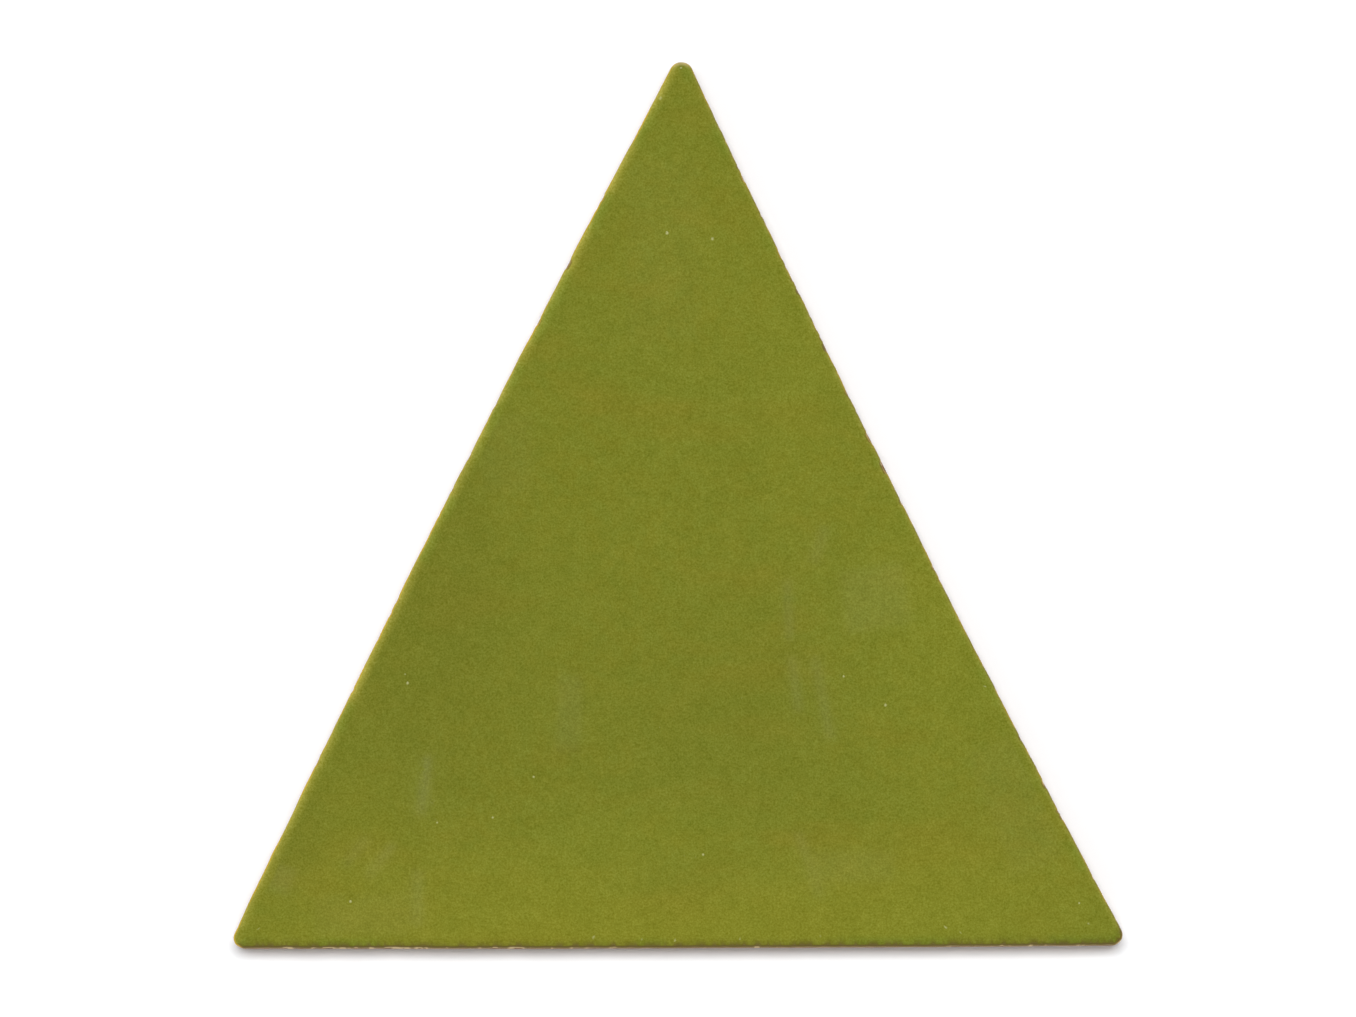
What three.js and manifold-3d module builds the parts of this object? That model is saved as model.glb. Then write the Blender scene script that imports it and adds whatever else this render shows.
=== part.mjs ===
// A triangular glazed wall tile, lying on its back with the glazed face up.
//
// The tile is a pressed clay body with a ribbed back, a thin pale slip coat (engobe) over its
// face and upper sides, and a glossy glaze coat fired over that. A low flange round the bottom
// half of the sides stands a little proud of the glazed edge and spaces one tile from the next.
//
// Millimetres. +X runs along the straight base side, +Y points to the apex, +Z comes out of the
// glazed face. The origin is at the middle of the bounding box, on the plane of the back.

import * as THREE from 'three';
import * as BufferGeometryUtils from 'three/addons/utils/BufferGeometryUtils.js';
import Module from 'manifold-3d';

// Plan of the flange, the widest outline. Lengths run between the sharp corners.
const BASE_LENGTH = 150;
const HEIGHT = 149.6;
const APEX_SHIFT = 1.25;          // apex, to the right of the middle of the base
const SIDE_BOW = 1.1;             // both long sides bend to the left by this at mid height
const BASE_CORNER_RADIUS = 2;
const APEX_CORNER_RADIUS = 2.1;
const LEAST_CORNER_RADIUS = 0.25; // an inner outline keeps at least this

// Section of the sides.
const THICKNESS = 9;
const GLAZE_THICKNESS = 0.5;
const ENGOBE_THICKNESS = 0.3;
const FLANGE_PROUD = 0.3;         // flange past the glaze
const FLANGE_TOP = 4.8;
const SHOULDER_RISE = 0.5;        // slope from the flange in to the coated part
const ENGOBE_HEM = FLANGE_TOP + SHOULDER_RISE;
const GLAZE_HEM = 5.7;            // the glaze stops a little higher than the engobe
const ARRIS_RADIUS = 1.4;         // rounded edge of the glazed face
const BACK_CHAMFER = 0.5;

// Ribbed back: shallow grooves along X, kept inside a plain rim.
const GROOVE_COUNT = 12;
const GROOVE_WIDTH = 5;
const GROOVE_PITCH = 10;
const GROOVE_DEPTH = 1;
const BACK_RIM = 7;
const GROOVE_OVERCUT = 1;         // the cutter starts this far below the back

// Fineness.
const CORNER_STEPS = 8;
const SIDE_STEPS = 12;
const ARRIS_STEPS = 6;

const GLAZE_INSET = FLANGE_PROUD;
const ENGOBE_INSET = GLAZE_INSET + GLAZE_THICKNESS;
const CLAY_INSET = ENGOBE_INSET + ENGOBE_THICKNESS;
const ARRIS_BOTTOM = THICKNESS - ARRIS_RADIUS;

const CORNERS = [
  { point: new THREE.Vector2(-BASE_LENGTH / 2, 0), radius: BASE_CORNER_RADIUS },
  { point: new THREE.Vector2(BASE_LENGTH / 2, 0), radius: BASE_CORNER_RADIUS },
  { point: new THREE.Vector2(APEX_SHIFT, HEIGHT), radius: APEX_CORNER_RADIUS },
];

// One corner, inset from the flange's outline and rounded: the points of its arc.
function cornerArc(index, inset) {
  const { point, radius } = CORNERS[index];
  const before = CORNERS[(index + 2) % 3].point.clone().sub(point).normalize();
  const after = CORNERS[(index + 1) % 3].point.clone().sub(point).normalize();
  const bisector = before.clone().add(after).normalize();
  const sineOfHalf = Math.abs(before.cross(bisector));
  const arcRadius = Math.max(radius - inset, LEAST_CORNER_RADIUS);
  const centre = point.clone().addScaledVector(bisector, (inset + arcRadius) / sineOfHalf);
  const turn = Math.PI - 2 * Math.asin(sineOfHalf);
  const from = Math.atan2(-before.x, before.y) + Math.PI;
  return Array.from({ length: CORNER_STEPS + 1 }, (_, step) => {
    const angle = from + (turn * step) / CORNER_STEPS;
    return new THREE.Vector2(Math.cos(angle), Math.sin(angle)).multiplyScalar(arcRadius).add(centre);
  });
}

// Bends the whole tile sideways, by nothing at the base and the apex and most at mid height.
function bend(point) {
  const fromMiddle = point.y / (HEIGHT / 2) - 1;
  point.x -= SIDE_BOW * (1 - fromMiddle * fromMiddle);
  return point;
}

// The tile's closed outline, inset from the flange's: three arcs joined by the three sides.
function outline(inset) {
  const arcs = CORNERS.map((_, index) => cornerArc(index, inset));
  const points = arcs.flatMap((arc, index) => {
    const sideStart = arc[CORNER_STEPS];
    const sideEnd = arcs[(index + 1) % 3][0];
    const side = Array.from({ length: SIDE_STEPS - 1 }, (_, step) => (
      sideStart.clone().lerp(sideEnd, (step + 1) / SIDE_STEPS)
    ));
    return [...arc, ...side];
  });
  return points.map(bend);
}

// A closed solid through a list of rings, { inset, z }, with a flat cap on the first and last.
function loft(rings) {
  const plans = rings.map((ring) => outline(ring.inset));
  const count = plans[0].length;
  const positions = plans.flatMap((plan, ring) => plan.flatMap(({ x, y }) => [x, y, rings[ring].z]));
  const triangles = [];
  for (let ring = 0; ring + 1 < rings.length; ring += 1) {
    for (let index = 0; index < count; index += 1) {
      const next = (index + 1) % count;
      const low = ring * count;
      const high = low + count;
      triangles.push(low + index, low + next, high + next);
      triangles.push(low + index, high + next, high + index);
    }
  }
  const last = (rings.length - 1) * count;
  for (const [a, b, c] of THREE.ShapeUtils.triangulateShape(plans[0], [])) {
    triangles.push(a, c, b);
  }
  for (const [a, b, c] of THREE.ShapeUtils.triangulateShape(plans[rings.length - 1], [])) {
    triangles.push(last + a, last + b, last + c);
  }
  const geometry = new THREE.BufferGeometry();
  geometry.setAttribute('position', new THREE.Float32BufferAttribute(positions, 3));
  geometry.setIndex(triangles);
  return geometry;
}

// The rings of a coated surface at this inset, from its hem up over the arris to the face.
function arrisRings(inset, hem) {
  const radius = ARRIS_RADIUS - (inset - GLAZE_INSET);
  const curve = Array.from({ length: ARRIS_STEPS + 1 }, (_, step) => {
    const angle = (Math.PI / 2) * (step / ARRIS_STEPS);
    return { inset: inset + radius * (1 - Math.cos(angle)), z: ARRIS_BOTTOM + radius * Math.sin(angle) };
  });
  return [{ inset, z: hem }, ...curve];
}

// A coat is the shell between its inner and outer surfaces, open below and ending in a flat hem.
function coatGeometry(innerInset, outerInset, hem) {
  const inner = arrisRings(innerInset, hem).reverse();
  return loft([...inner, ...arrisRings(outerInset, hem)]);
}

function clayBlankGeometry() {
  return loft([
    { inset: BACK_CHAMFER, z: 0 },
    { inset: 0, z: BACK_CHAMFER },
    { inset: 0, z: FLANGE_TOP },
    ...arrisRings(CLAY_INSET, FLANGE_TOP + SHOULDER_RISE),
  ]);
}

// Everything inside the back's rim, as deep as the grooves.
function grooveFieldGeometry() {
  return loft([{ inset: BACK_RIM, z: -GROOVE_OVERCUT }, { inset: BACK_RIM, z: GROOVE_DEPTH }]);
}

function grooveCutterGeometry(middle) {
  const geometry = new THREE.BoxGeometry(BASE_LENGTH, GROOVE_WIDTH, GROOVE_DEPTH + GROOVE_OVERCUT);
  geometry.translate(0, middle, (GROOVE_DEPTH - GROOVE_OVERCUT) / 2);
  return geometry;
}

const wasm = await Module();
wasm.setup();

function toSolid(geometry) {
  const bare = new THREE.BufferGeometry();
  bare.setAttribute('position', geometry.getAttribute('position'));
  bare.setIndex(geometry.getIndex());
  const merged = BufferGeometryUtils.mergeVertices(bare);
  return new wasm.Manifold(new wasm.Mesh({
    numProp: 3,
    vertProperties: new Float32Array(merged.getAttribute('position').array),
    triVerts: new Uint32Array(merged.getIndex().array),
  }));
}

function toGeometry(solid) {
  const mesh = solid.getMesh();
  const geometry = new THREE.BufferGeometry();
  geometry.setAttribute('position', new THREE.Float32BufferAttribute(mesh.vertProperties, 3));
  geometry.setIndex(Array.from(mesh.triVerts));
  return geometry;
}

// The clay body: the blank less its grooves, the first of them beside the rim along the base.
function clayBodyGeometry() {
  const field = toSolid(grooveFieldGeometry());
  let body = toSolid(clayBlankGeometry());
  for (let groove = 0; groove < GROOVE_COUNT; groove += 1) {
    const middle = BACK_RIM + GROOVE_WIDTH / 2 + groove * GROOVE_PITCH;
    body = body.subtract(toSolid(grooveCutterGeometry(middle)).intersect(field));
  }
  return toGeometry(body);
}

function part(name, geometry, look) {
  geometry.computeVertexNormals();
  const mesh = new THREE.Mesh(geometry, new THREE.MeshStandardMaterial({ metalness: 0, ...look }));
  mesh.name = name;
  return mesh;
}

const LOOKS = {
  clay: { color: 0xb89a80, roughness: 0.9 },
  engobe: { color: 0xd8c9a6, roughness: 0.8 },
  glaze: { color: 0x7c802a, roughness: 0.15 },
};

const tile = new THREE.Group();
tile.name = 'triangular_tile';
tile.add(
  part('clay_body', clayBodyGeometry(), LOOKS.clay),
  part('engobe_coat', coatGeometry(CLAY_INSET, ENGOBE_INSET, ENGOBE_HEM), LOOKS.engobe),
  part('glaze_coat', coatGeometry(ENGOBE_INSET, GLAZE_INSET, GLAZE_HEM), LOOKS.glaze),
);

// The outline starts at the base, so the tile moves to put the middle of its box on the origin.
const plan = new THREE.Box2().setFromPoints(outline(0));
const planMiddle = plan.getCenter(new THREE.Vector2());
tile.position.set(-planMiddle.x, -planMiddle.y, 0);

export default tile;
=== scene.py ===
"""A triangular glazed wall tile, seen from almost straight above on a white studio floor.

Three closed meshes stand for the three CAD solids: the fired clay body, the pale engobe coat and
the glossy olive glaze coat. Lengths are in millimetres until a mesh is made, and in metres after.
"""

import math

import bpy
import numpy as np
from mathutils import Matrix, Vector, noise
from mathutils.geometry import delaunay_2d_cdt


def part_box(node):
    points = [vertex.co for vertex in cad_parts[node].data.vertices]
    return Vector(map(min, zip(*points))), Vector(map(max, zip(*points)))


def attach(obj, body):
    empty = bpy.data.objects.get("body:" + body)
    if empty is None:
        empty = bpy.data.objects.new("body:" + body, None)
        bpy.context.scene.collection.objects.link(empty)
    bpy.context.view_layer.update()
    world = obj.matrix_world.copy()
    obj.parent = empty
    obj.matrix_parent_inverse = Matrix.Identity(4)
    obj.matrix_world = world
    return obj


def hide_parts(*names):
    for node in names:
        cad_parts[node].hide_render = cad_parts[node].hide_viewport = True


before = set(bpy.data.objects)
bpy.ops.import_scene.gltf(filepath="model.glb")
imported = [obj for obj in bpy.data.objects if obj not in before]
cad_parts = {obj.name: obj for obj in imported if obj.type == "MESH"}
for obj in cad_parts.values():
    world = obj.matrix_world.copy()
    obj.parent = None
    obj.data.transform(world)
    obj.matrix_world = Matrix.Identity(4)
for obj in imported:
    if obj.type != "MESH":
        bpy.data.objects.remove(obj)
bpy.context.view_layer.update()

MM = 0.001


# ---------------------------------------------------------------- sizes

def node_box(node):
    """The lowest and highest corners of a CAD node, in millimetres."""
    low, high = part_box(node)
    return np.array(low) / MM, np.array(high) / MM


CLAY_LOW, CLAY_HIGH = node_box("clay_body")
ENGOBE_LOW, ENGOBE_HIGH = node_box("engobe_coat")
GLAZE_LOW, GLAZE_HIGH = node_box("glaze_coat")

# The plan, as in the CAD model.
BASE_LENGTH = 150.0
HEIGHT = 149.6
APEX_SHIFT = 1.25
SIDE_BOW = 1.1
BASE_CORNER_RADIUS = 2.0
APEX_CORNER_RADIUS = 2.1
LEAST_CORNER_RADIUS = 0.25
CORNERS = (
    (np.array((-BASE_LENGTH / 2, 0.0)), BASE_CORNER_RADIUS),
    (np.array((BASE_LENGTH / 2, 0.0)), BASE_CORNER_RADIUS),
    (np.array((APEX_SHIFT, HEIGHT)), APEX_CORNER_RADIUS),
)

# The section of the sides.
THICKNESS = GLAZE_HIGH[2]
ENGOBE_HEM = ENGOBE_LOW[2]
GLAZE_HEM = GLAZE_LOW[2]
GLAZE_INSET = GLAZE_LOW[1] - CLAY_LOW[1]
ENGOBE_INSET = ENGOBE_LOW[1] - CLAY_LOW[1]
ENGOBE_THICKNESS = ENGOBE_HIGH[2] - CLAY_HIGH[2]
CLAY_INSET = ENGOBE_INSET + ENGOBE_THICKNESS
FLANGE_TOP = 4.8
ARRIS_RADIUS = 1.4
ARRIS_BOTTOM = THICKNESS - ARRIS_RADIUS
BACK_CHAMFER = 0.5

# The glaze rolls over the arris to a sharp lip, and the side below the lip is set back a little.
ROLL_RADIUS = 1.9
ROLL_TILT = math.radians(42)
LIP_RADIUS = 0.05
LIP_SETBACK = 0.10

# The ribbed back.
GROOVE_COUNT = 12
GROOVE_WIDTH = 5.0
GROOVE_PITCH = 10.0
GROOVE_DEPTH = 1.0
BACK_RIM = 7.0

# The gaps between the three meshes, under a face and elsewhere. At the arris, out of sight, the
# clay still runs a little way into the engobe.
FACE_GAP = 0.03
COAT_GAP = 0.02

# How fine the meshes are. The face's grid of points starts a margin in from the glaze's lip.
CORNER_STEPS = 16
SIDE_STEPS = 520
FACE_GRID = 0.60
PLAIN_GRID = 9.0
FACE_MARGIN = 3.4


# ---------------------------------------------------------------- plan

def smooth(low, high, values):
    """0 below low, 1 above high and a smooth step between."""
    share = np.clip((values - low) / (high - low), 0, 1)
    return share * share * (3 - 2 * share)


def fade(low, high, values):
    """1 below low, 0 above high and a smooth step between."""
    return 1 - smooth(low, high, values)


def drift(points, size, seed):
    """Smooth noise, about -1 to 1, that changes over this many millimetres, its own for each seed."""
    place = np.zeros((len(points), 3))
    place[:, : points.shape[1]] = points
    place = place / size + seed * np.array((7.31, 3.17, 5.73))
    return np.array([noise.noise(Vector(p)) for p in place])


def unit(vector):
    """The vector at a length of 1."""
    return vector / np.linalg.norm(vector)


def corner_arc(index, inset):
    """The points of one rounded corner of the outline at this inset, before it is bent."""
    point, radius = CORNERS[index]
    before = unit(CORNERS[index - 1][0] - point)
    after = unit(CORNERS[(index + 1) % 3][0] - point)
    bisector = unit(before + after)
    sine_of_half = abs(before[0] * bisector[1] - before[1] * bisector[0])
    arc_radius = max(radius - inset, LEAST_CORNER_RADIUS)
    centre = point + bisector * (inset + arc_radius) / sine_of_half
    start = math.atan2(-before[0], before[1]) + math.pi
    turn = math.pi - 2 * math.asin(sine_of_half)
    angles = start + turn * np.linspace(0, 1, CORNER_STEPS + 1)
    return centre + arc_radius * np.stack((np.cos(angles), np.sin(angles)), axis=1)


def bend_of(heights):
    """How far the sides are bent to the left at these heights above the base."""
    from_middle = heights / (HEIGHT / 2) - 1
    return SIDE_BOW * (1 - from_middle**2)


def unplaced_outline(inset):
    """The closed outline at this inset, anticlockwise, with the middle of its base at the origin."""
    arcs = [corner_arc(index, inset) for index in range(3)]
    share = (np.arange(1, SIDE_STEPS) / SIDE_STEPS)[:, None]
    pieces = []
    for index, arc in enumerate(arcs):
        end = arcs[(index + 1) % 3][0]
        pieces += [arc, arc[-1] + (end - arc[-1]) * share]
    points = np.concatenate(pieces)
    points[:, 0] -= bend_of(points[:, 1])
    return points


def middle(points):
    """The middle of the box round these points."""
    return (np.min(points, axis=0) + np.max(points, axis=0)) / 2


PLAN_SHIFT = middle((CLAY_LOW[:2], CLAY_HIGH[:2])) - middle(unplaced_outline(0.0))


def outline(inset):
    """The closed outline at this inset, where the CAD model's is."""
    return unplaced_outline(inset) + PLAN_SHIFT


# The outermost outline, and which side each of its points is on.
EDGE = outline(0.0)
RING = len(EDGE)
EDGE_STEP = np.roll(EDGE, -1, axis=0) - np.roll(EDGE, 1, axis=0)
EDGE_NORMAL = np.stack((EDGE_STEP[:, 1], -EDGE_STEP[:, 0]), axis=1)
EDGE_NORMAL /= np.linalg.norm(EDGE_NORMAL, axis=1)[:, None]
EDGE_HEIGHT = EDGE[:, 1] - PLAN_SHIFT[1]
ON_BASE = smooth(0.5, 0.9, -EDGE_NORMAL[:, 1])
ON_RIGHT = smooth(0.1, 0.7, EDGE_NORMAL[:, 0])
ON_LEFT = smooth(0.1, 0.7, -EDGE_NORMAL[:, 0])

# The base side, with the corner at its right end.
LOW_EDGE = np.maximum(ON_BASE, fade(1.0, 4.5, EDGE_HEIGHT) * smooth(-10, 10, EDGE[:, 0]))

# The pressed outline isn't quite straight: it waves, the right side is a little hollow and the
# base side is a little full near its middle. WAVE and CROWN say how far out that moves it, and
# neither is over 0.
RIGHT_HOLLOW = 0.18
RIGHT_HOLLOW_HEIGHT = 42.0
RIGHT_HOLLOW_SPREAD = 30.0
BASE_CROWN = 0.20
BASE_CROWN_X = 14.0
WAVE = 0.10 * drift(EDGE, 9, 1) + 0.06 * drift(EDGE, 3.5, 2) - 0.09
WAVE *= 1 - 0.7 * ON_BASE
HOLLOW = np.exp(-(((EDGE_HEIGHT - RIGHT_HOLLOW_HEIGHT) / RIGHT_HOLLOW_SPREAD) ** 2))
WAVE = np.minimum(WAVE - RIGHT_HOLLOW * ON_RIGHT * HOLLOW, 0)
CROWN = -BASE_CROWN * ON_BASE * ((EDGE[:, 0] - BASE_CROWN_X) / (BASE_LENGTH / 2)) ** 2


def ring_plan(inset, out=0.0):
    """The waved outline at this inset, moved out by a distance that may differ along it."""
    waving = WAVE * fade(3.0, 8.0, inset) + CROWN * fade(1.0, 3.2, inset)
    return outline(inset) + EDGE_NORMAL * (waving + out)[:, None]


def inset_of(points):
    """How far inside the outline's straight sides these plan points are."""
    flat = points - PLAN_SHIFT
    flat = np.stack((flat[:, 0] + bend_of(flat[:, 1]), flat[:, 1]), axis=1)
    insets = []
    for index in range(3):
        start = CORNERS[index][0]
        along = unit(CORNERS[(index + 1) % 3][0] - start)
        insets.append((flat - start) @ np.array((-along[1], along[0])))
    return np.min(insets, axis=0)


# ---------------------------------------------------------------- small tools

def blobs(points, spots):
    """The sum of soft elliptical spots, each (x, y, half width, half height, amount)."""
    total = np.zeros(len(points))
    for x, y, wide, high, amount in spots:
        away = ((points[:, 0] - x) / wide) ** 2 + ((points[:, 1] - y) / high) ** 2
        total += amount * np.exp(-away)
    return total


# What fills a ring: only the triangles inside it, and points at least this far apart.
INSIDE_ONLY = 1
LEAST_GAP = 1e-6


class Shell:
    """A mesh in the making: vertices, faces and one number per vertex for each attribute."""

    def __init__(self, attributes=()):
        self.points = []
        self.faces = []
        self.values = {name: [] for name in attributes}
        self.count = 0

    def add(self, points, heights, **values):
        """Adds plan points at these heights and returns the index of the first."""
        first = self.count
        heights = np.broadcast_to(heights, len(points))
        self.points.append(np.column_stack((points, heights)))
        self.count += len(points)
        for name, stored in self.values.items():
            stored.append(np.broadcast_to(values.get(name, 0.0), len(points)))
        return first

    def ring_band(self, low, high):
        """Joins two rings of the outline."""
        for index in range(RING):
            following = (index + 1) % RING
            self.faces.append((low + index, low + following, high + following, high + index))

    def ring(self, below, points, heights, **values):
        """Adds a ring of vertices, joins it to the ring below and returns its first index."""
        row = self.add(points, heights, **values)
        self.ring_band(below, row)
        return row

    def fill(self, ring_first, ring, inner, heights, up, **values):
        """Covers the inside of a ring of vertices, through more plan points, with triangles."""
        plan = np.concatenate((ring, inner))
        edges = [(index, (index + 1) % RING) for index in range(RING)]
        corners = [Vector(point) for point in plan]
        made = delaunay_2d_cdt(corners, edges, [list(range(RING))], INSIDE_ONLY, LEAST_GAP)
        if len(made[0]) != len(plan):
            raise ValueError("a filled ring has two vertices at one place")
        inner_first = self.add(inner, heights, **values)
        came_from = [source[0] for source in made[3]]
        index_of = [ring_first + k if k < RING else inner_first + k - RING for k in came_from]
        for face in made[2]:
            corners = [index_of[k] for k in face]
            self.faces.append(tuple(corners if up else corners[::-1]))

    def to_object(self, name):
        """The finished mesh as a Blender object, in metres."""
        mesh = bpy.data.meshes.new(name)
        points = np.concatenate(self.points) * MM
        mesh.from_pydata(points.tolist(), [], self.faces)
        mesh.polygons.foreach_set("use_smooth", [True] * len(mesh.polygons))
        for label, stored in self.values.items():
            layer = mesh.attributes.new(label, "FLOAT", "POINT")
            layer.data.foreach_set("value", np.concatenate(stored).astype(np.float32))
        mesh.update()
        mesh.validate()
        made = bpy.data.objects.new(name, mesh)
        bpy.context.scene.collection.objects.link(made)
        return made


def inner_grid(least_inset, spacing):
    """A triangular grid of plan points that are all further in than the given inset."""
    row_height = spacing * math.sqrt(3) / 2
    low, high = EDGE.min(axis=0), EDGE.max(axis=0)
    rows = []
    for row, y in enumerate(np.arange(low[1], high[1], row_height)):
        xs = np.arange(low[0] + (row % 2) * spacing / 2, high[0], spacing)
        rows.append(np.column_stack((xs, np.full(len(xs), y))))
    points = np.concatenate(rows)
    return points[inset_of(points) > least_inset]


# ---------------------------------------------------------------- glaze

# The blisters that stand out: x, y, radius, height.
BLISTERS = (
    (-1.3, 45.0, 0.34, 0.085),
    (6.2, 44.0, 0.30, 0.080),
    (-44.6, -29.4, 0.30, 0.090),
    (-45.0, -27.9, 0.20, 0.050),
    (27.6, -28.6, 0.24, 0.070),
    (34.5, -33.4, 0.30, 0.090),
    (-23.8, -45.0, 0.26, 0.065),
    (-30.6, -51.7, 0.24, 0.065),
    (-39.8, -52.5, 0.22, 0.060),
    (4.2, -58.0, 0.25, 0.075),
    (-54.2, -65.5, 0.30, 0.090),
    (-69.4, -69.9, 0.30, 0.035),
    (66.4, -66.3, 0.21, 0.075),
    (67.9, -69.7, 0.26, 0.045),
    (-2.3, 67.4, 0.32, 0.080),
    (-14.0, -71.7, 0.34, 0.130),
    (-6.0, -71.9, 0.28, 0.100),
    (-0.5, -72.2, 0.22, 0.070),
    (10.2, -71.9, 0.28, 0.100),
    (44.3, -70.2, 0.24, 0.070),
    (51.0, -30.4, 0.20, 0.060),
)
SMALL_BLISTERS = 40
EDGE_BLISTERS = 16
BLISTER_SEED = 5

# The face's mesh is clear of each blister out to this many radii, where finer rings take its
# place, each given as (radii from the middle, count of points).
BLISTER_CLEARANCE = 2.2
BLISTER_RINGS = ((0.35, 6), (0.7, 10), (1.05, 12), (1.5, 12), (2.0, 12))

# Notches in the glaze's lip: side, height above the base, half length, depth.
NOTCHES = (
    ("right", 99.5, 0.8, 0.16),
    ("right", 84.6, 0.9, 0.20),
    ("right", 79.6, 1.1, 0.26),
    ("right", 92.0, 0.6, 0.12),
    ("right", 63.0, 0.5, 0.12),
    ("right", 27.0, 0.7, 0.14),
    ("left", 113.5, 0.9, 0.20),
    ("left", 104.0, 0.7, 0.14),
    ("left", 58.0, 0.6, 0.12),
    ("left", 31.0, 0.5, 0.10),
)
SMALL_NOTCHES = 40
NOTCH_SEED = 9


def all_blisters():
    """The placed blisters, small ones all over the face, and a row near the base."""
    random = np.random.default_rng(BLISTER_SEED)
    low, high = EDGE.min(axis=0), EDGE.max(axis=0)
    found = list(BLISTERS)
    while len(found) < len(BLISTERS) + SMALL_BLISTERS:
        x, y = random.uniform(low, high)
        radius, height = random.uniform(0.10, 0.16), random.uniform(0.012, 0.03)
        if inset_of(np.array([(x, y)]))[0] > FACE_MARGIN + 1:
            found.append((x, y, radius, height))
    for _ in range(EDGE_BLISTERS):
        x = random.uniform(low[0] + 10, high[0] - 10)
        y = low[1] + GLAZE_INSET + random.uniform(1.6, 3.2)
        found.append((x, y, random.uniform(0.14, 0.22), random.uniform(0.03, 0.06)))
    return found


FACE_BLISTERS = all_blisters()


def notch_depth():
    """How deep the glaze's lip is notched at each point of the outline."""
    random = np.random.default_rng(NOTCH_SEED)
    places = list(NOTCHES)
    for _ in range(SMALL_NOTCHES):
        side = random.choice(("right", "right", "left"))
        half_length, depth = random.uniform(0.3, 0.7), random.uniform(0.03, 0.12)
        places.append((side, random.uniform(4, 144), half_length, depth))
    deep = np.zeros(RING)
    for side, height, half_length, depth in places:
        on_side = (ON_RIGHT if side == "right" else ON_LEFT) > 0.9
        away = (EDGE_HEIGHT - height) / half_length
        bite = depth * np.sqrt(np.clip(1 - away**2, 0, 1))
        deep = np.maximum(deep, bite * on_side)
    return deep


# Where the base side's lip falls short of the flange: centre x, half length, how often.
BASE_FRINGES = ((-52.0, 30.0, 1.0), (2.0, 14.0, 0.35), (60.0, 12.0, 0.6))


def base_fringe():
    """1 where the base side's lip falls short and shows the clay under it, else 0."""
    often = np.zeros(RING)
    for x, half_length, amount in BASE_FRINGES:
        often += amount * np.exp(-(((EDGE[:, 0] - x) / half_length) ** 4))
    pattern = drift(EDGE, 1.5, 3) + 0.5 * drift(EDGE, 0.6, 4)
    off_corners = fade(67.5, 70.5, np.abs(EDGE[:, 0]))
    return ON_BASE * off_corners * smooth(-0.1, 0.35, pattern - 0.5 + 0.55 * often)


NOTCH = notch_depth()
FRINGE = base_fringe()

# How far out the glaze's side stands, and its lip, whose fine waves fade out down the side.
SIDE_OUT = 0.20 - NOTCH
LIP_OUT = 0.24 + (0.03 + 0.05 * ON_BASE) * drift(EDGE, 1.4, 5) - 0.08 * FRINGE - NOTCH
LIP_OUT = np.minimum(LIP_OUT, 0.27)

# Above this height, at the apex, the lip is painted pale cream as a highlight.
APEX_HIGHLIGHT_HEIGHT = 145.9


def dip(points):
    """How far the glaze's face is below its highest level."""
    swell = 0.045 * drift(points, 36, 11) + 0.010 * drift(points, 14, 12)
    peel = 0.0012 * drift(points, 3.6, 13)
    return 0.16 - swell - peel - blister_height(points)


def blister_height(points):
    """How high the blisters rise at these plan points."""
    total = np.zeros(len(points))
    for x, y, radius, height in FACE_BLISTERS:
        near = np.hypot(points[:, 0] - x, points[:, 1] - y) / radius
        close = near < 3
        total[close] += height * np.exp(-(near[close] ** 2))
    return total


def blister_tip(points):
    """Where the painted glint goes: 1 on a blister's tip and 0 away from the blisters."""
    total = np.zeros(len(points))
    for x, y, radius, height in FACE_BLISTERS:
        near = np.hypot(points[:, 0] - x, points[:, 1] - y) / radius
        total += np.exp(-((near / 0.8) ** 2)) * min(height / 0.07, 1)
    return np.clip(total, 0, 1)


def with_blisters(grid):
    """The face's grid with finer rings of points at each blister."""
    rings = []
    for x, y, radius, _ in FACE_BLISTERS:
        away = np.hypot(grid[:, 0] - x, grid[:, 1] - y)
        grid = grid[away > radius * BLISTER_CLEARANCE]
        rings.append(np.array([(x, y)]))
        for share, count in BLISTER_RINGS:
            turn = np.arange(count) / count * 2 * math.pi + share
            around = np.stack((np.cos(turn), np.sin(turn)), axis=1)
            rings.append((x, y) + around * radius * share)
    rings = np.concatenate(rings)
    return np.concatenate((grid, rings[inset_of(rings) > GLAZE_INSET + FACE_MARGIN + 0.1]))


def lip_rows():
    """Rows round the glaze's sharp lip, as (inset, depth below the face)."""
    rows = []
    lip_drop = ROLL_RADIUS * (1 - math.cos(ROLL_TILT))
    for tilt in np.linspace(math.radians(150), ROLL_TILT, 6)[:-1]:
        inset = LIP_RADIUS * (1 - math.sin(tilt))
        drop = lip_drop + LIP_RADIUS * (math.cos(ROLL_TILT) - math.cos(tilt))
        rows.append((inset, drop))
    return rows


def roll_rows():
    """Rows of the rolled arris, from the lip to the level face, as (inset, depth below the face)."""
    rows = []
    start = LIP_RADIUS * (1 - math.sin(ROLL_TILT))
    for tilt in np.linspace(ROLL_TILT, 0, 9):
        inset = start + ROLL_RADIUS * (math.sin(ROLL_TILT) - math.sin(tilt))
        rows.append((inset, ROLL_RADIUS * (1 - math.cos(tilt))))
    for inset in np.linspace(rows[-1][0], FACE_MARGIN, 6)[1:]:
        rows.append((inset, 0.0))
    return rows
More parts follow.
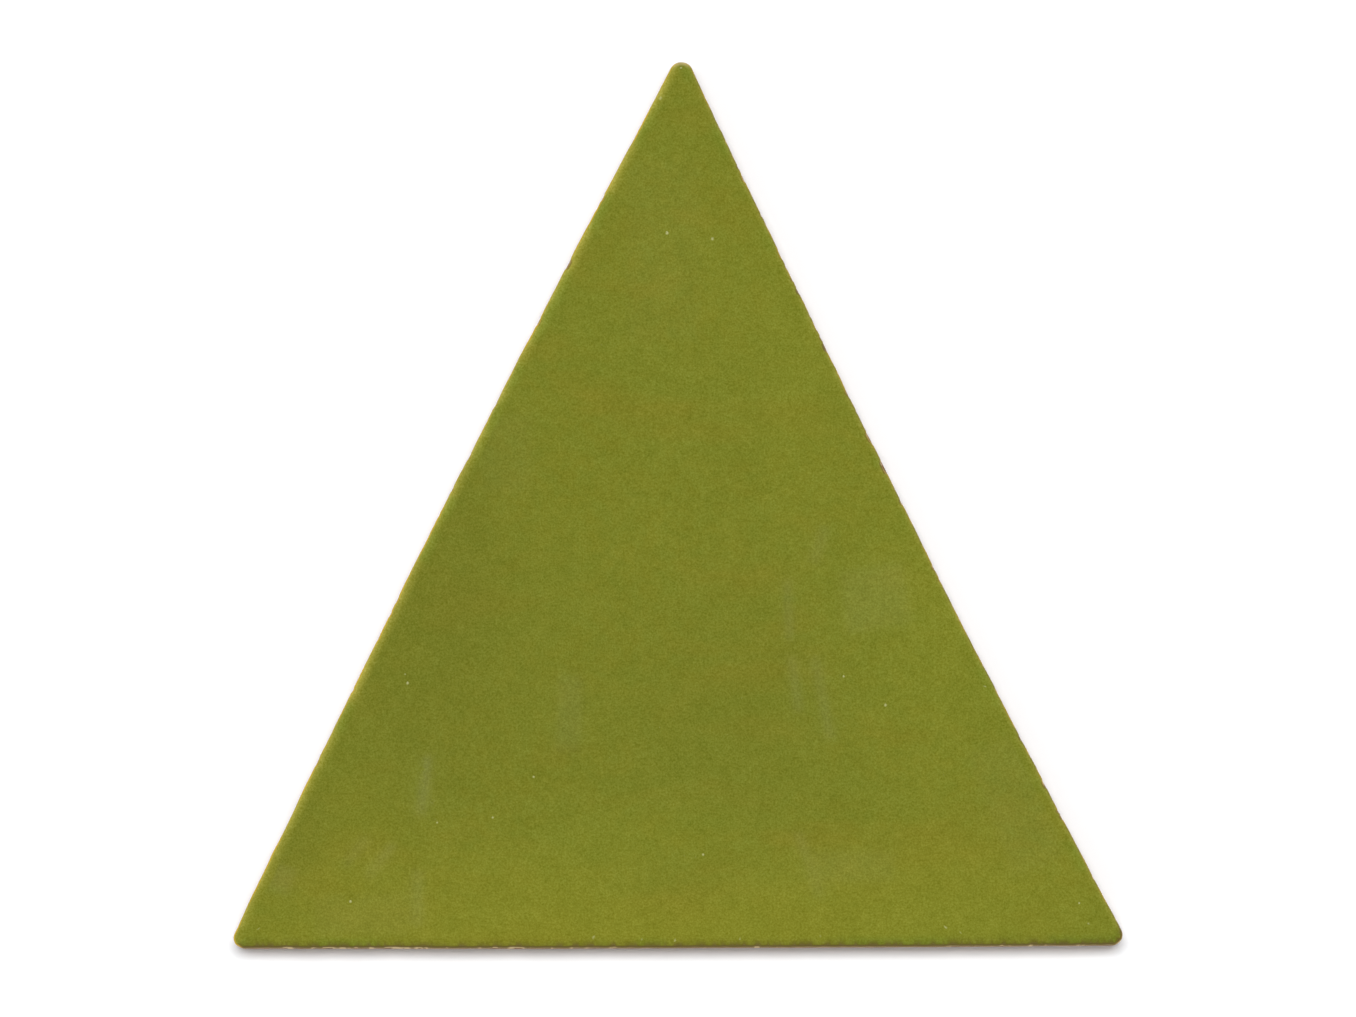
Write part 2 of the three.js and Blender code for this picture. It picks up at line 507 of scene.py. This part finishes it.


# Slow changes of tone and of warmth over the face: x, y, half width, half height, amount.
# The lighter tone patches are partly painted reflection of the room in the glossy face, partly the
# glaze's own tone.
TONES_AND_SHEEN = (
    (-46.0, -22.0, 20.0, 36.0, -1.0),
    (4.0, -36.0, 32.0, 20.0, -0.55),
    (-12.0, -72.0, 48.0, 9.0, 1.0),
    (38.0, -68.0, 36.0, 10.0, 0.8),
    (10.0, 40.0, 18.0, 30.0, 0.25),
    (44.0, -20.0, 14.0, 30.0, 0.8),
    (-37.0, 0.0, 9.0, 22.0, -0.5),
    (-65.0, -54.0, 7.0, 8.0, -1.3),
    (0.0, -64.0, 9.0, 5.0, -0.6),
    (-5.0, -54.0, 15.0, 5.0, 0.5),
    (-27.0, -61.0, 20.0, 7.0, 0.6),
    (21.0, 22.0, 8.0, 26.0, 0.5),
)
WARMTHS = (
    (-12.0, -74.0, 60.0, 12.0, 1.0),
    (-52.0, -60.0, 10.0, 12.0, 0.6),
    (45.0, -60.0, 26.0, 8.0, 0.5),
    (6.0, -38.0, 26.0, 18.0, -0.6),
)


def face_colours(points):
    """Tone, partly painted reflection, warmth, and the painted glint on blister tips, at these plan
    points.
    """
    tone_and_painted_light = blobs(points, TONES_AND_SHEEN)
    warmth = blobs(points, WARMTHS)
    return {"tone_and_painted_light": tone_and_painted_light, "warmth": warmth, "painted_glint": blister_tip(points)}


def lip_cream(inset):
    """Where the glaze's lip is so thin that the engobe's cream shows, and a painted highlight at the
    apex.
    """
    flecks = smooth(0.15, 0.4, drift(EDGE, 1.2, 67))
    cream = ON_BASE * (0.3 + 0.7 * FRINGE) + ON_RIGHT * (0.3 + 0.6 * flecks) + 0.25 * ON_LEFT
    # Painted highlight: the apex tip is painted in the same pale cream.
    tip = smooth(APEX_HIGHLIGHT_HEIGHT, APEX_HIGHLIGHT_HEIGHT + 1.4, EDGE_HEIGHT)
    return cream * fade(0.03, 0.18, inset) + 0.6 * tip * fade(0.1, 0.8, inset)


def lip_rust(inset):
    """Where the glaze is thick and brown: a line over the base, the right lip and the notches."""
    blotches = 0.12 + 0.68 * smooth(-0.2, 0.4, drift(EDGE, 1.2, 66) + 0.7 * drift(EDGE, 0.5, 70))
    base = fade(0.26, 0.50, inset) + blotches * fade(0.3, 1.4, inset)
    right = 0.6 * fade(0.06, 0.22, inset)
    notches = smooth(0.05, 0.15, NOTCH) * fade(0.2, 0.4, inset)
    return np.clip(base * LOW_EDGE + right * ON_RIGHT + notches, 0, 1)


def lip_thin_and_painted_light(inset):
    """Thin, pale glaze along the left side and a little along the right lip, partly painted light."""
    paleness = 0.5 + 0.45 * smooth(0, 14, EDGE_HEIGHT) + 0.45 * drift(EDGE, 5, 65)
    left = paleness * (0.40 * fade(0.5, 1.8, inset) + 0.72 * fade(0.0, 0.9, inset))
    right = 0.40 * fade(0.0, 1.1, inset)
    return left * ON_LEFT + right * ON_RIGHT


def lip_gold(inset):
    """Where the lip of the long sides is golden, in patches."""
    left = (0.3 + 0.7 * smooth(-0.35, 0.3, drift(EDGE, 5, 61))) * fade(0.10, 0.30, inset)
    right = 0.6 * smooth(-0.2, 0.3, drift(EDGE, 2.5, 63)) * fade(0.05, 0.25, inset)
    return left * ON_LEFT + right * ON_RIGHT


def lip_green(inset):
    """Where the glaze is greener just inside its lip, in patches."""
    patches = smooth(0.05, 0.35, drift(EDGE, 6, 64))
    reach = smooth(0.0, 0.3, inset) * fade(0.7, 2.2, inset)
    return patches * reach * (0.6 * ON_LEFT + 0.4 * ON_RIGHT + 0.5 * ON_BASE)


def edge_colours(inset, plan):
    """The glaze's colours along one row near its lip, with painted shade, mottled, on the base side's
    roll.
    """
    colours = face_colours(plan)
    # Painted shade: the roll over the base side faces away from the key light, so its tone is made
    # darker, in a mottle.
    mottle = 3.0 * drift(plan, 1.1, 69)
    colours["tone_and_painted_light"] = colours["tone_and_painted_light"] + (mottle - 2.2) * LOW_EDGE * fade(0.3, 2.2, inset)
    colours["thin"] = lip_thin_and_painted_light(inset)
    colours["gold"] = lip_gold(inset)
    colours["green"] = lip_green(inset)
    colours["rust"] = lip_rust(inset)
    colours["cream"] = lip_cream(inset)
    return colours


def side_colours(share):
    """The glaze's side, this share of the way up: olive with brown runs, and brown at its hem."""
    runs = 0.15 + 0.25 * drift(EDGE, 6, 68)
    return {"rust": np.clip(runs + 0.7 * (1 - share) ** 3, 0, 1), "tone_and_painted_light": np.full(RING, -0.6)}


def add_glaze_inside(shell, hem):
    """Adds the glaze's inner surface: its ceiling, its inner arris and its inner side."""
    inner_radius = ARRIS_RADIUS - (ENGOBE_INSET - GLAZE_INSET)
    ceiling_height = ARRIS_BOTTOM + inner_radius
    ceiling = outline(ENGOBE_INSET + inner_radius)
    below = shell.add(ceiling, ceiling_height)
    grid = inner_grid(ENGOBE_INSET + inner_radius + 4, PLAIN_GRID)
    shell.fill(below, ceiling, grid, ceiling_height, up=False)
    for angle in np.linspace(math.pi / 2, 0, 6)[1:]:
        inset = ENGOBE_INSET + inner_radius * (1 - math.cos(angle))
        height = ARRIS_BOTTOM + inner_radius * math.sin(angle)
        below = shell.ring(below, ring_plan(inset), height)
    return shell.ring(below, ring_plan(ENGOBE_INSET), hem + 0.12)


def build_glaze():
    """The glaze, from its ceiling down its inner side, round its hem and lip and over its face."""
    shell = Shell(("thin", "gold", "rust", "green", "cream", "tone_and_painted_light", "warmth", "painted_glint"))
    hem = GLAZE_HEM + 0.25 * drift(EDGE, 9, 21) + 0.22 * drift(EDGE, 3, 22)
    hem = np.maximum(hem, GLAZE_HEM - 0.35)
    below = add_glaze_inside(shell, hem)

    for share, drop in ((0.75, 0.0), (0.4, -0.02)):
        plan = ring_plan(GLAZE_INSET + (ENGOBE_INSET - GLAZE_INSET) * share)
        below = shell.ring(below, plan, hem + drop, **side_colours(0.0))

    lip = lip_rows()
    lip_level = THICKNESS - lip[0][1] - dip(ring_plan(GLAZE_INSET))
    for share in np.linspace(0.12, 0.9, 5):
        out = SIDE_OUT + (LIP_OUT - SIDE_OUT) * smooth(0.6, 1.0, share)
        plan = ring_plan(GLAZE_INSET + LIP_SETBACK, out)
        below = shell.ring(below, plan, hem + (lip_level - hem) * share, **side_colours(share))

    for inset, drop in lip + roll_rows():
        out = LIP_OUT * fade(0.4, 3.0, inset)
        plan = ring_plan(GLAZE_INSET + inset, out)
        heights = THICKNESS - drop - dip(plan)
        below = shell.ring(below, plan, heights, **edge_colours(inset, plan))

    grid = with_blisters(inner_grid(GLAZE_INSET + FACE_MARGIN + 0.4, FACE_GRID))
    shell.fill(below, plan, grid, THICKNESS - dip(grid), up=True, **face_colours(grid))
    return shell.to_object("glaze")


# ---------------------------------------------------------------- engobe

def build_engobe():
    """The engobe, from its ceiling down its inner side, round its hem and up over the outside."""
    shell = Shell()
    top = THICKNESS - (ENGOBE_INSET - GLAZE_INSET) - FACE_GAP
    ceiling = top - ENGOBE_THICKNESS + 2 * FACE_GAP
    hem = ENGOBE_HEM + 0.15 + 0.12 * drift(EDGE, 5, 31) + 0.08 * drift(EDGE, 1.6, 32)

    inner = outline(CLAY_INSET + ARRIS_RADIUS)
    below = shell.add(inner, ceiling)
    grid = inner_grid(CLAY_INSET + 8, PLAIN_GRID)
    shell.fill(below, inner, grid, ceiling, up=False)
    inside = CLAY_INSET - COAT_GAP
    outside = ENGOBE_INSET + COAT_GAP
    rows = [(inside, ceiling - 0.5), (inside, hem), (outside, hem), (outside, ARRIS_BOTTOM)]
    radius = ARRIS_RADIUS - (ENGOBE_INSET - GLAZE_INSET) - FACE_GAP
    for angle in np.linspace(0, math.pi / 2, 6)[1:]:
        inset = outside + radius * (1 - math.cos(angle))
        rows.append((inset, ARRIS_BOTTOM + radius * math.sin(angle)))
    for inset, height in rows:
        plan = ring_plan(inset)
        below = shell.ring(below, plan, height)
    shell.fill(below, plan, grid, top, up=True)
    return shell.to_object("engobe")


# ---------------------------------------------------------------- clay

# The walls of the grooves slope over twice WALL_HALF_SLOPE. Rows of points run at these distances
# from each wall, close together on it and sparse beside it, and at these heights along the rim.
WALL_HALF_SLOPE = 0.35
WALL_ROWS = (-0.38, -0.13, 0.13, 0.38)
LEVEL_ROWS = (1.4, 2.5, 3.6)
RIM_ROWS = (2.2, 3.6, 5.2)


def groove_depth(points):
    """How deep the back is grooved at these plan points."""
    heights = points[:, 1] - PLAN_SHIFT[1]
    along = (heights - BACK_RIM) / GROOVE_PITCH
    nearest = np.clip(np.floor(along), 0, GROOVE_COUNT - 1)
    from_middle = np.abs(heights - BACK_RIM - GROOVE_WIDTH / 2 - nearest * GROOVE_PITCH)
    half_width = GROOVE_WIDTH / 2
    across = fade(half_width - WALL_HALF_SLOPE, half_width + WALL_HALF_SLOPE, from_middle)
    within = smooth(BACK_RIM - WALL_HALF_SLOPE, BACK_RIM + WALL_HALF_SLOPE, inset_of(points))
    return GROOVE_DEPTH * across * within


def back_points():
    """Plan points of the back, with rows close together along the grooves' walls."""
    rows = list(RIM_ROWS)
    for groove in range(GROOVE_COUNT):
        low = BACK_RIM + groove * GROOVE_PITCH
        for wall in (low, low + GROOVE_WIDTH):
            rows += [wall + gap for gap in WALL_ROWS + LEVEL_ROWS]
    rows += list(np.arange(BACK_RIM + GROOVE_COUNT * GROOVE_PITCH, HEIGHT, 1.2))
    found = []
    for row, height in enumerate(sorted(rows)):
        xs = np.arange(EDGE[:, 0].min() + (row % 2) * 0.5, EDGE[:, 0].max(), 1.0)
        found.append(np.column_stack((xs, np.full(len(xs), height + PLAN_SHIFT[1]))))
    points = np.concatenate(found)
    depth = inset_of(points)
    clear = (depth > 2.6) & (np.abs(depth - BACK_RIM) > 0.55)
    points = points[clear]
    walls = [outline(BACK_RIM + gap)[::2] for gap in WALL_ROWS]
    return np.concatenate([points, *walls])


def back_height(points):
    """How high the back is above the floor at these plan points."""
    rough = 0.05 * drift(points, 12, 41) + 0.03 * drift(points, 2.5, 42)
    off_edge = smooth(1.2, 4.0, inset_of(points))
    return groove_depth(points) + (0.09 + rough) * off_edge


def clay_colours(height):
    """Cream flecks of slip and brown glaze stains, both only near the top of the flange."""
    near_top = smooth(FLANGE_TOP - 1.0, FLANGE_TOP - 0.1, height)
    flecks = smooth(-0.15, 0.05, drift(EDGE, 1.6, 55) + 0.6 * drift(EDGE, 0.7, 56))
    cream = FRINGE * flecks
    stain = np.clip(0.75 * ON_BASE + ON_RIGHT + 0.6 * ON_LEFT, 0, 1) * (1 - cream)
    return {"slip": cream * near_top, "stain": stain * near_top}


def build_clay():
    """The clay, from its back over the chamfer and up the flange's side, then the body on it."""
    shell = Shell(("slip", "stain"))
    edge = outline(2.0)
    below = shell.add(edge, back_height(edge))
    inner = back_points()
    shell.fill(below, edge, inner, back_height(inner), up=False)
    chamfer = [(1.2, 0.0), (BACK_CHAMFER + 0.1, 0.03), (0.2, 0.25), (0.03, 0.7)]
    flange = [(0.0, height) for height in np.linspace(1.2, FLANGE_TOP - 0.3, 6)]
    flange += [(0.05, FLANGE_TOP - 0.1), (0.2, FLANGE_TOP + 0.08), (0.6, FLANGE_TOP + 0.25)]
    body = [(CLAY_INSET + COAT_GAP, ENGOBE_HEM), (CLAY_INSET + COAT_GAP, ARRIS_BOTTOM)]
    for inset, height in chamfer + flange + body:
        skin = np.column_stack((outline(inset), np.full(RING, height)))
        rough = 0.03 * drift(skin, 6, 51) + 0.03 * drift(skin, 1.5, 52) - 0.03
        on_flange = inset <= 1.0
        plan = ring_plan(inset, np.minimum(rough, 0) * on_flange)
        below = shell.ring(below, plan, height, **clay_colours(height))
    top = CLAY_HIGH[2] - COAT_GAP
    plan = ring_plan(CLAY_INSET + 0.6)
    below = shell.ring(below, plan, top)
    shell.fill(below, plan, inner_grid(CLAY_INSET + 8, PLAIN_GRID), top, up=True)
    return shell.to_object("clay")


# ---------------------------------------------------------------- materials

# The places of a Mix node's colour sockets.
COLOUR_A, COLOUR_B, COLOUR_RESULT = 6, 7, 2


class Shader:
    """A material's node tree, with one short call for each kind of node."""

    def __init__(self, name):
        self.material = bpy.data.materials.new(name)
        self.material.use_nodes = True
        self.tree = self.material.node_tree
        self.surface = self.tree.nodes["Principled BSDF"]
        self.coordinates = self.add("ShaderNodeTexCoord").outputs["Object"]

    def add(self, kind, inputs=(), **settings):
        """A node of this kind, with its settings and its sockets filled in."""
        made = self.tree.nodes.new(kind)
        for name, value in settings.items():
            setattr(made, name, value)
        for name, value in dict(inputs).items():
            self.put(made.inputs[name], value)
        return made

    def put(self, socket, value):
        """Links another node's socket to this one, or sets this one to a number."""
        if isinstance(value, bpy.types.NodeSocket):
            self.tree.links.new(value, socket)
        else:
            socket.default_value = value

    def noise(self, size, detail=2.0, roughness=0.5, stretch=(1, 1, 1)):
        """Noise, 0 to 1, of this many millimetres."""
        scale = self.add("ShaderNodeVectorMath", operation="MULTIPLY")
        self.put(scale.inputs[0], self.coordinates)
        scale.inputs[1].default_value = stretch
        inputs = {"Vector": scale.outputs[0], "Scale": 1 / (size * MM)}
        inputs.update({"Detail": detail, "Roughness": roughness})
        return self.add("ShaderNodeTexNoise", inputs).outputs["Fac"]

    def ramp(self, value, low, high, to_low=0.0, to_high=1.0):
        """Goes from to_low to to_high as the value goes from low to high, and stops there."""
        inputs = {"Value": value, "From Min": low, "From Max": high}
        inputs.update({"To Min": to_low, "To Max": to_high})
        return self.add("ShaderNodeMapRange", inputs).outputs["Result"]

    def attribute(self, name):
        """One of the mesh's numbers per vertex."""
        return self.add("ShaderNodeAttribute", attribute_name=name).outputs["Fac"]

    def mix(self, share, first, second, blend="MIX"):
        """The first colour at a share of 0, and the second blended in as the share grows."""
        made = self.add("ShaderNodeMix", data_type="RGBA", blend_type=blend)
        self.put(made.inputs["Factor"], share)
        self.put(made.inputs[COLOUR_A], first)
        self.put(made.inputs[COLOUR_B], second)
        return made.outputs[COLOUR_RESULT]

    def tint(self, colour, texture, low, high):
        """A colour times a tint that goes from low to high as the texture goes from 0.3 to 0.7."""
        share = self.ramp(texture, 0.3, 0.7)
        return self.mix(1.0, colour, self.mix(share, (*low, 1), (*high, 1)), "MULTIPLY")

    def math(self, operation, first, second):
        """What an operation such as ADD makes of two numbers."""
        made = self.add("ShaderNodeMath", operation=operation)
        self.put(made.inputs[0], first)
        self.put(made.inputs[1], second)
        return made.outputs[0]

    def bump(self, height, depth):
        """A bump of this many millimetres."""
        inputs = {"Height": height, "Distance": depth * MM, "Strength": 1.0}
        return self.add("ShaderNodeBump", inputs).outputs["Normal"]

    def finish(self, **inputs):
        """Sets the surface's sockets, whose names have _ for a space, and gives the material."""
        for name, value in inputs.items():
            self.put(self.surface.inputs[name.replace("_", " ")], value)
        return self.material


def glaze_material():
    """Olive glass: mottled and finely grained, golden at a thin lip and rusty at a thick one."""
    glaze = Shader("olive_glaze")
    tone_and_painted_light = glaze.attribute("tone_and_painted_light")
    warmth = glaze.attribute("warmth")
    rust = glaze.attribute("rust")

    body = glaze.mix(
        glaze.ramp(glaze.noise(3.0, 3.0, 0.6), 0.36, 0.64),
        (0.158, 0.175, 0.0150, 1),
        (0.167, 0.172, 0.0132, 1),
    )
    patch = glaze.noise(13, 3.0, 0.55, stretch=(0.55, 1.0, 1.0))
    body = glaze.mix(glaze.ramp(patch, 0.40, 0.62, 0, 0.6), body, (0.154, 0.174, 0.0150, 1))
    amber = glaze.noise(10, 3.0, 0.6, stretch=(0.4, 1.0, 1.0))
    amber = glaze.math("ADD", amber, glaze.math("MULTIPLY", warmth, 0.07))
    body = glaze.mix(glaze.ramp(amber, 0.53, 0.70, 0, 0.65), body, (0.178, 0.166, 0.0130, 1))

    # Darker and lighter by tone: the glaze's own tone, painted reflection in lighter patches, painted
    # shade on the base roll.
    body = glaze.mix(glaze.ramp(tone_and_painted_light, -1, 0, 0.5, 0), body, (0.130, 0.140, 0.0125, 1))
    body = glaze.mix(glaze.ramp(tone_and_painted_light, 0, 1, 0, 0.5), body, (0.191, 0.206, 0.0165, 1))
    body = glaze.mix(glaze.ramp(warmth, 0, 1, 0, 0.5), body, (0.197, 0.191, 0.0130, 1))
    # Pale where the glaze is thin, and partly painted light: the rolls, the left one most, are made
    # brighter as if lit from the side.
    body = glaze.mix(glaze.attribute("thin"), body, (0.35, 0.32, 0.046, 1))
    green = glaze.ramp(glaze.attribute("green"), 0, 1, 0, 0.5)
    body = glaze.mix(green, body, (0.121, 0.200, 0.0180, 1))

    body = glaze.tint(body, glaze.noise(0.33, 2.0, 0.8), (0.78, 0.79, 0.42), (1.22, 1.21, 1.58))
    body = glaze.tint(body, glaze.noise(1.2, 3.0, 0.7), (0.93, 0.93, 0.82), (1.07, 1.07, 1.18))
    body = glaze.tint(body, glaze.noise(5.0, 2.0, 0.5), (0.96, 0.97, 0.92), (1.04, 1.03, 1.08))

    body = glaze.mix(rust, body, (0.102, 0.074, 0.010, 1))
    body = glaze.mix(glaze.attribute("gold"), body, (0.55, 0.36, 0.02, 1))
    body = glaze.mix(glaze.attribute("cream"), body, (0.66, 0.50, 0.24, 1))
    # Painted highlight: the blister tips are painted pale, as glints of the lights.
    painted_glint = glaze.ramp(glaze.attribute("painted_glint"), 0.2, 0.9, 0, 0.7)
    body = glaze.mix(painted_glint, body, (0.50, 0.50, 0.22, 1))

    wet = glaze.ramp(glaze.noise(9), 0.3, 0.7, 0.045, 0.065)
    dry = glaze.math("MULTIPLY", rust, 0.3)
    return glaze.finish(Base_Color=body, Roughness=glaze.math("ADD", wet, dry), IOR=1.5)


def engobe_material():
    """Dull cream slip."""
    engobe = Shader("engobe")
    cream = engobe.mix(engobe.noise(1.2, 4, 0.6), (0.62, 0.50, 0.32, 1), (0.74, 0.64, 0.45, 1))
    fine = engobe.bump(engobe.noise(0.5, 3), 0.05)
    return engobe.finish(Base_Color=cream, Roughness=0.8, Normal=fine)


def clay_material():
    """Buff fired clay with pale grog, stained by the glaze and flecked with slip up on the flange."""
    clay = Shader("fired_clay")
    body = clay.mix(clay.noise(14, 4, 0.6), (0.47, 0.30, 0.19, 1), (0.58, 0.41, 0.28, 1))
    grog = clay.ramp(clay.noise(0.7, 3, 0.7), 0.56, 0.66)
    body = clay.mix(grog, body, (0.66, 0.53, 0.40, 1))
    reddish = clay.ramp(clay.noise(1.5, 3, 0.7), 0.4, 0.6)
    stain = clay.mix(reddish, (0.14, 0.085, 0.02, 1), (0.30, 0.15, 0.06, 1))
    body = clay.mix(clay.attribute("stain"), body, stain)
    body = clay.mix(clay.attribute("slip"), body, (0.80, 0.64, 0.36, 1))
    fine = clay.bump(clay.noise(0.6, 4, 0.7), 0.12)
    return clay.finish(Base_Color=body, Roughness=0.92, Normal=fine)


def floor_material():
    """Plain matt white."""
    floor = Shader("white_floor")
    return floor.finish(Base_Color=(0.905, 0.92, 0.94, 1), Roughness=0.9)


# ---------------------------------------------------------------- stage

def build_floor():
    """A wide level floor."""
    mesh = bpy.data.meshes.new("floor")
    reach = 6.0
    corners = [(-reach, -reach, 0), (reach, -reach, 0), (reach, reach, 0), (-reach, reach, 0)]
    mesh.from_pydata(corners, [], [(0, 1, 2, 3)])
    made = bpy.data.objects.new("floor", mesh)
    bpy.context.scene.collection.objects.link(made)
    made.data.materials.append(floor_material())


def add_light(name, place, target, shape, size, radiance):
    """An area light of this shape and size. A white card in full light has a radiance of 1."""
    light = bpy.data.lights.new(name, "AREA")
    light.shape = shape
    light.size, light.size_y = size
    area = size[0] * size[1] * (math.pi / 4 if shape == "ELLIPSE" else 1)
    light.energy = radiance * math.pi * area
    made = bpy.data.objects.new(name, light)
    bpy.context.scene.collection.objects.link(made)
    made.location = place
    made.rotation_euler = (Vector(target) - Vector(place)).to_track_quat("-Z", "Y").to_euler()
    made.visible_camera = False
    return made


def studio_light(name, azimuth, off_vertical, distance, size, radiance):
    """An oval light that faces the tile, from an azimuth counted from +X."""
    turn, lean = math.radians(azimuth), math.radians(off_vertical)
    out = Vector((math.cos(turn) * math.sin(lean), math.sin(turn) * math.sin(lean), math.cos(lean)))
    return add_light(name, out * distance, (0, 0, 0), "ELLIPSE", size, radiance)


# Name, azimuth and degrees off the vertical, distance and size in metres, radiance, and whether
# the glaze mirrors it.
LIGHTS = (
    ("key", 90, 8.2, 6.0, (2.7, 1.62), 27.6, False),
    ("lamp", 90, 25, 1.5, (0.12, 0.12), 14.0, True),
    ("left_box", 168, 46, 1.4, (0.9, 0.9), 1.5, False),
    ("right_box", 12, 46, 1.4, (0.9, 0.9), 0.9, False),
    ("low_box", 270, 46, 1.4, (0.9, 0.9), 1.7, False),
)


def build_lights():
    """A soft key almost overhead, a small lamp for glints, and three weak boxes round the tile."""
    for *placed, mirrored in LIGHTS:
        studio_light(*placed).visible_glossy = mirrored
    # Without this the key still adds a haze to the face's mirror image of the room.
    bpy.data.lights["key"].cycles.use_multiple_importance_sampling = False


# Dim cards overhead that the glossy face mirrors as soft patches and streaks: x and y on the
# face, width and length there, how many degrees the length leans to the left, and radiance.
CARDS = (
    ("card_right", 33.0, -15.5, 10.5, 10.0, 8, 0.22),
    ("card_right_streak_a", 18.8, -17.3, 1.5, 10.0, 2, 0.42),
    ("card_right_streak_b", 19.8, -29.5, 1.5, 9.0, 7, 0.42),
    ("card_right_streak_c", 24.4, -32.0, 1.5, 14.0, 10, 0.42),
    ("card_right_streak_d", 23.8, -7.0, 2.0, 6.0, -20, 0.30),
    ("card_low_right_streak", 22.0, -59.7, 1.4, 11.0, 20, 0.36),
    ("card_low_right", 29.2, -60.2, 13.0, 5.0, 0, 0.18),
    ("card_middle", -17.8, -35.0, 4.0, 12.0, -4, 0.24),
    ("card_left", -28.0, 9.0, 9.0, 13.0, 0, 0.10),
    ("card_left_streak", -41.7, -46.2, 1.4, 10.0, -8, 0.80),
    ("card_low_left_streak_a", -43.1, -65.2, 2.0, 9.0, -4, 0.36),
    ("card_low_left_streak_b", -48.9, -59.0, 1.4, 7.0, -38, 0.45),
    ("card_low_left_streak_c", -53.0, -57.4, 1.4, 6.0, -38, 0.36),
    ("card_low_left", -52.4, -68.0, 15.0, 6.5, 0, 0.14),
    ("card_corner", -65.4, -61.8, 4.0, 5.0, -20, 0.30),
    ("card_far_right", 56.0, -50.0, 9.0, 22.0, 20, 0.11),
    ("card_top", -2.0, 42.0, 12.0, 30.0, 0, 0.06),
)
CARD_HEIGHT = 0.15


def build_card(camera, name, x, y, wide, long, lean, radiance):
    """A dim card where the camera sees its mirror image at this place on the level face."""
    face = Vector((x * MM, y * MM, THICKNESS * MM))
    seen = face - camera.matrix_world.translation
    rise = (CARD_HEIGHT - face.z) / -seen.z
    place = face + Vector((seen.x * rise, seen.y * rise, CARD_HEIGHT - face.z))
    size = (wide * MM * (1 + rise), long * MM * (1 + rise))
    card = add_light(name, place, place - Vector((0, 0, 1)), "RECTANGLE", size, radiance)
    card.rotation_euler.z += math.radians(lean)
    card.visible_diffuse = False


def build_world():
    """A studio whose walls are pale low down and which is dim overhead."""
    world = bpy.data.worlds.new("studio")
    bpy.context.scene.world = world
    world.use_nodes = True
    tree = world.node_tree
    coordinates = tree.nodes.new("ShaderNodeTexCoord")
    split = tree.nodes.new("ShaderNodeSeparateXYZ")
    ramp = tree.nodes.new("ShaderNodeMapRange")
    ramp.interpolation_type = "SMOOTHSTEP"
    for name, value in (("From Min", 0.0), ("From Max", 0.9), ("To Min", 0.30), ("To Max", 0.12)):
        ramp.inputs[name].default_value = value
    background = tree.nodes["Background"]
    background.inputs["Color"].default_value = (1, 1, 1, 1)
    tree.links.new(coordinates.outputs["Generated"], split.inputs[0])
    tree.links.new(split.outputs["Z"], ramp.inputs["Value"])
    tree.links.new(ramp.outputs["Result"], background.inputs["Strength"])


CAMERA_DISTANCE = 3.0
CAMERA_LEAN = math.radians(2.0)
CAMERA_TURN = math.radians(-0.26)
VIEW_WIDTH = 0.22457
LOOK_AT = Vector((0.0003, -0.00067, THICKNESS * MM))


def build_camera():
    """A long lens over the middle of the tile, leaning a little towards the base side."""
    data = bpy.data.cameras.new("camera")
    data.sensor_width = 36.0
    data.lens = data.sensor_width * CAMERA_DISTANCE / VIEW_WIDTH
    data.clip_start = 0.05
    data.clip_end = 50.0
    made = bpy.data.objects.new("camera", data)
    bpy.context.scene.collection.objects.link(made)
    lean = Matrix.Rotation(CAMERA_LEAN, 4, "X")
    away = Matrix.Translation((0, 0, CAMERA_DISTANCE))
    turn = Matrix.Rotation(CAMERA_TURN, 4, "Z")
    made.matrix_world = Matrix.Translation(LOOK_AT) @ lean @ away @ turn
    bpy.context.scene.camera = made
    return made


# ---------------------------------------------------------------- making

bpy.context.scene.view_settings.view_transform = "Standard"
camera = build_camera()
bpy.context.view_layer.update()
build_floor()
build_world()
build_lights()
for card in CARDS:
    build_card(camera, *card)

# How each piece is made, the CAD node it replaces, its material slot, and its material.
PIECES = (
    (build_clay, "clay_body", "fired_clay", clay_material),
    (build_engobe, "engobe_coat", "engobe", engobe_material),
    (build_glaze, "glaze_coat", "olive_glaze", glaze_material),
)
for build, node, slot, material in PIECES:
    piece = build()
    piece.data.materials.append(material())
    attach(piece, "root")
    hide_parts(node)
